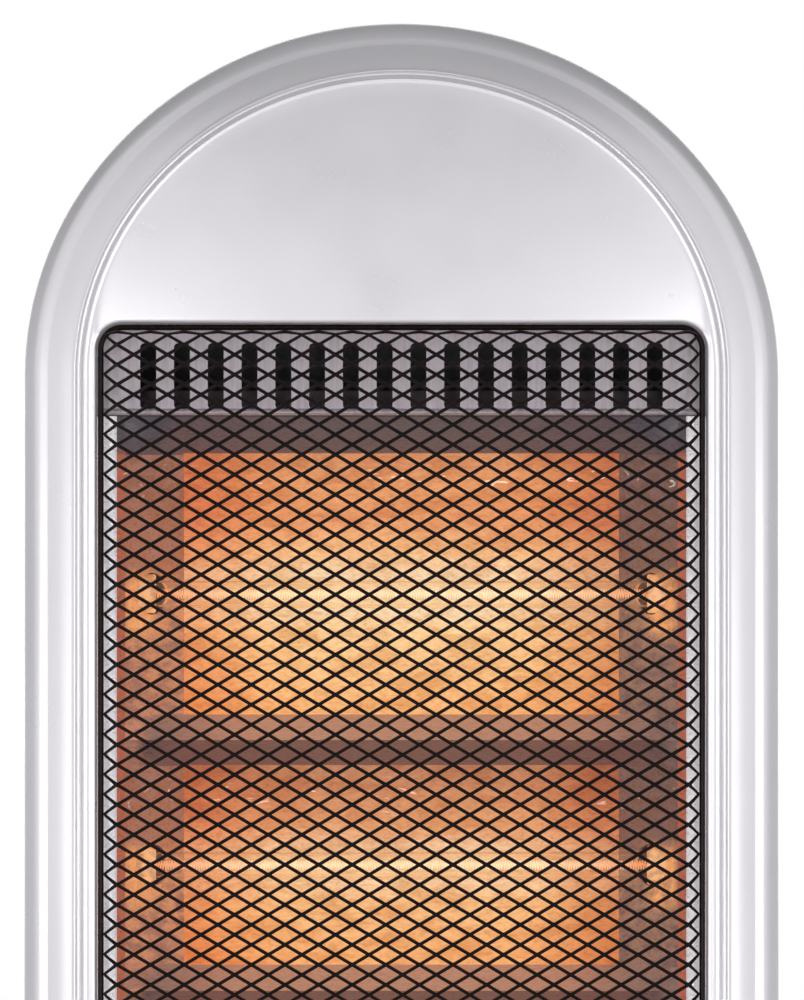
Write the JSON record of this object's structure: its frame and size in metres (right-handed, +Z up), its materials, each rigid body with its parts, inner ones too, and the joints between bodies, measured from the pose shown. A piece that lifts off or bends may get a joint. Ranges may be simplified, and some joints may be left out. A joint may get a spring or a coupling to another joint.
{
  "type": "halogen heater",
  "caption": "Upright halogen heater with quartz tubes behind an expanded-metal guard in an arched silver casing that swings on a round base.",
  "frame": {"origin": "on the floor, under the middle of the round base", "axes": "+Z up, the front with the guard faces -Y, +X to the right of someone who looks at the front"},
  "size_m": [0.29, 0.29, 0.61],
  "materials": {
    "silver_plastic": "silver paint, satin gloss",
    "dark_plastic": "moulded black, fine texture",
    "panel_black": "gloss black",
    "knob_silver": "silver paint, satin gloss",
    "guard_black": "black enamel, semi-gloss",
    "reflector_sheet": "stucco-embossed bright sheet",
    "satin_sheet": "satin",
    "zinc_sheet": "zinc-coated, dull",
    "plain_steel": "plain",
    "cast_iron": "as cast",
    "quartz": "clear fused quartz",
    "filament": "glowing tungsten",
    "ceramic": "matt steatite",
    "pale_nylon": "natural nylon",
    "rubber": "matt"
  },
  "bodies": {
    "base": {"base_cover": "silver_plastic", "base_plate": "dark_plastic", "counterweight": "cast_iron", "oscillation_motor": "plain_steel", "bearing_washer": "pale_nylon", "tip_switch": "dark_plastic", "cord_gland": "dark_plastic", "foot_1": "rubber", "foot_2": "rubber", "foot_3": "rubber", "foot_4": "rubber"},
    "head": {"turntable": "zinc_sheet", "neck": "dark_plastic", "front_casing": "silver_plastic", "rear_casing": "silver_plastic", "guard": "guard_black", "guard_edge": "guard_black", "guard_frame": "guard_black", "vent_panel": "satin_sheet", "lower_panel": "satin_sheet", "reflector": "reflector_sheet", "quartz_tube_1": "quartz", "filament_1": "filament", "end_cap_left_1": "ceramic", "end_cap_right_1": "ceramic", "quartz_tube_2": "quartz", "filament_2": "filament", "end_cap_left_2": "ceramic", "end_cap_right_2": "ceramic", "quartz_tube_3": "quartz", "filament_3": "filament", "end_cap_left_3": "ceramic", "end_cap_right_3": "ceramic", "lamp_bracket_left": "zinc_sheet", "lamp_bracket_right": "zinc_sheet", "heat_shield": "zinc_sheet", "thermal_cutout": "dark_plastic", "terminal_block": "pale_nylon", "control_panel": "panel_black", "selector_switch": "dark_plastic", "swing_switch": "dark_plastic"},
    "crank": {"crank": "plain_steel"},
    "link": {"link": "plain_steel"},
    "plunger": {"tip_plunger": "pale_nylon"},
    "knob": {"selector_knob": "knob_silver", "selector_spindle": "plain_steel"},
    "button": {"swing_button": "knob_silver"}
  },
  "joints": [
    {"name": "head_swing", "type": "hinge", "parent": "base", "child": "head", "pos_m": [0, 0, 0.05], "axis": [0, 0, 1], "range_deg": [-30, 30]},
    {"name": "crank_turn", "type": "hinge", "parent": "base", "child": "crank", "pos_m": [0.046, 0.01639, 0.031], "axis": [0, 0, 1], "range_deg": [-90, 90]},
    {"name": "link_turn", "type": "hinge", "parent": "crank", "child": "link", "pos_m": [0.046, 0.02839, 0.035], "axis": [0, 0, 1], "range_deg": [-90, 90]},
    {"name": "selector_turn", "type": "hinge", "parent": "head", "child": "knob", "pos_m": [-0.036, -0.055, 0.11], "axis": [0, 1, 0], "range_deg": [-135, 0]},
    {"name": "swing_button_press", "type": "slide", "parent": "head", "child": "button", "axis": [0, 1, 0], "range_m": [0, 0.003], "stiffness_N_per_m": 200},
    {"name": "tip_plunger_slide", "type": "slide", "parent": "base", "child": "plunger", "axis": [0, 0, 1], "range_m": [-0.004, 0], "stiffness_N_per_m": 50, "springref_m": -0.004}
  ],
  "couplings": [
    {"joint": "crank_turn", "follows": "head_swing", "ratio": 3},
    {"joint": "link_turn", "follows": "head_swing", "ratio": -3}
  ]
}
